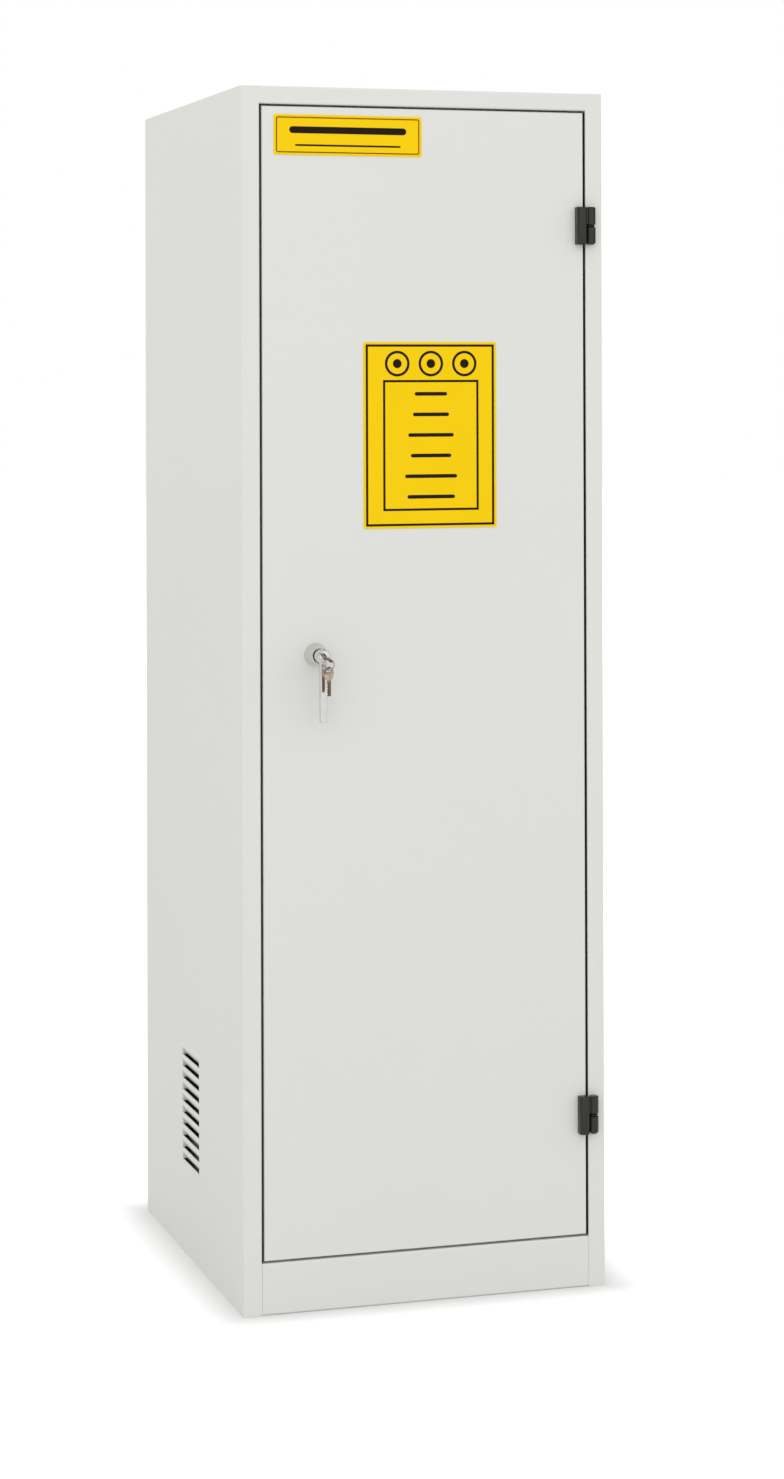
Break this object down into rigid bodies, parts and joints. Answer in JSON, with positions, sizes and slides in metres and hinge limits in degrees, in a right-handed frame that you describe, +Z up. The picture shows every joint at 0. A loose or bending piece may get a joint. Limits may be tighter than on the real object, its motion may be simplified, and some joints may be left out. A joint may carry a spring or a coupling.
{
  "type": "chemical storage cabinet",
  "caption": "Tall steel chemical storage cabinet with one key-locking door on lift-off hinges, tray shelves over a sump tray, louvred sides and a top exhaust spigot.",
  "frame": {"origin": "middle of the footprint on the floor, handle and keys included", "axes": "+Z up, +Y from the door to the back, +X to the hinge side"},
  "size_m": [0.5, 0.6466, 1.635],
  "materials": {
    "body_paint": "light grey epoxy powder coat, semi-gloss",
    "tray_paint": "light grey epoxy powder coat, semi-gloss",
    "black_hinge": "black powder coat",
    "zinc_steel": "bright zinc plate",
    "chrome_plate": "polished chrome plate",
    "key_metal": "worn nickel over brass",
    "seal_rubber": "black foam rubber",
    "moulded_nylon": "moulded black nylon",
    "sign_yellow": "printed yellow laminate plate"
  },
  "bodies": {
    "cabinet_body": {"left_side_panel": "body_paint", "right_side_panel": "body_paint", "back_panel": "body_paint", "back_panel_rivets": "zinc_steel", "top_panel": "body_paint", "floor_panel": "body_paint", "plinth_rail": "body_paint", "left_seal_strip": "seal_rubber", "right_seal_strip": "seal_rubber", "top_seal_strip": "seal_rubber", "bottom_seal_strip": "seal_rubber", "exhaust_collar": "body_paint", "exhaust_rivets": "zinc_steel", "front_left_upright": "zinc_steel", "front_right_upright": "zinc_steel", "rear_left_upright": "zinc_steel", "rear_right_upright": "zinc_steel", "shelf_clips": "zinc_steel", "lower_shelf": "tray_paint", "middle_shelf": "tray_paint", "upper_shelf": "tray_paint", "sump_tray": "tray_paint", "upper_keeper": "moulded_nylon", "lower_keeper": "moulded_nylon", "upper_hinge_frame_leaf": "black_hinge", "lower_hinge_frame_leaf": "black_hinge", "upper_hinge_pin": "zinc_steel", "lower_hinge_pin": "zinc_steel", "hinge_washers": "moulded_nylon", "frame_hinge_screws": "zinc_steel"},
    "door_body": {"upper_hinge_door_leaf": "black_hinge", "lower_hinge_door_leaf": "black_hinge", "door_hinge_screws": "zinc_steel", "door_skin": "body_paint", "door_liner": "body_paint", "door_stiffener": "zinc_steel", "sign_plate": "sign_yellow", "name_plate": "sign_yellow", "handle_boss": "chrome_plate", "boss_washer": "zinc_steel", "boss_nut": "zinc_steel", "rod_guides": "moulded_nylon", "guide_rivets": "zinc_steel"},
    "handle_body": {"handle_lever": "chrome_plate", "handle_spindle": "zinc_steel", "latch_cam": "zinc_steel", "cam_screw": "zinc_steel"},
    "lock_body": {"lock_plug": "chrome_plate", "key": "key_metal"},
    "ring_body": {"key_ring": "chrome_plate"},
    "spare_key_body": {"spare_key": "key_metal"},
    "upper_rod_body": {"upper_rod": "zinc_steel"},
    "lower_rod_body": {"lower_rod": "zinc_steel"}
  },
  "joints": [
    {"name": "door_swing", "type": "hinge", "parent": "cabinet_body", "child": "door_body", "pos_m": [0.2318, -0.26447, 0.8], "axis": [0, 0, 1], "range_deg": [0, 170]},
    {"name": "handle_turn", "type": "hinge", "parent": "door_body", "child": "handle_body", "pos_m": [-0.1509, -0.28127, 0.857], "axis": [0, -1, 0], "range_deg": [0, 90]},
    {"name": "upper_rod_slide", "type": "slide", "parent": "door_body", "child": "upper_rod_body", "axis": [0, 0, 1], "range_m": [0, 0.018]},
    {"name": "lower_rod_slide", "type": "slide", "parent": "door_body", "child": "lower_rod_body", "axis": [0, 0, -1], "range_m": [0, 0.018]},
    {"name": "key_turn", "type": "hinge", "parent": "handle_body", "child": "lock_body", "pos_m": [-0.1509, -0.29997, 0.857], "axis": [0, -1, 0], "range_deg": [0, 90]},
    {"name": "key_ring_swing", "type": "hinge", "parent": "lock_body", "child": "ring_body", "pos_m": [-0.14927, -0.31697, 0.85537], "axis": [0, -1, 0], "range_deg": [0, 25]},
    {"name": "spare_key_swing", "type": "hinge", "parent": "ring_body", "child": "spare_key_body", "pos_m": [-0.14927, -0.31697, 0.84847], "axis": [0, 1, 0], "range_deg": [-40, 40]}
  ],
  "couplings": [
    {"joint": "upper_rod_slide", "follows": "handle_turn", "m_per_rad": 0.011459},
    {"joint": "lower_rod_slide", "follows": "handle_turn", "m_per_rad": 0.011459}
  ]
}
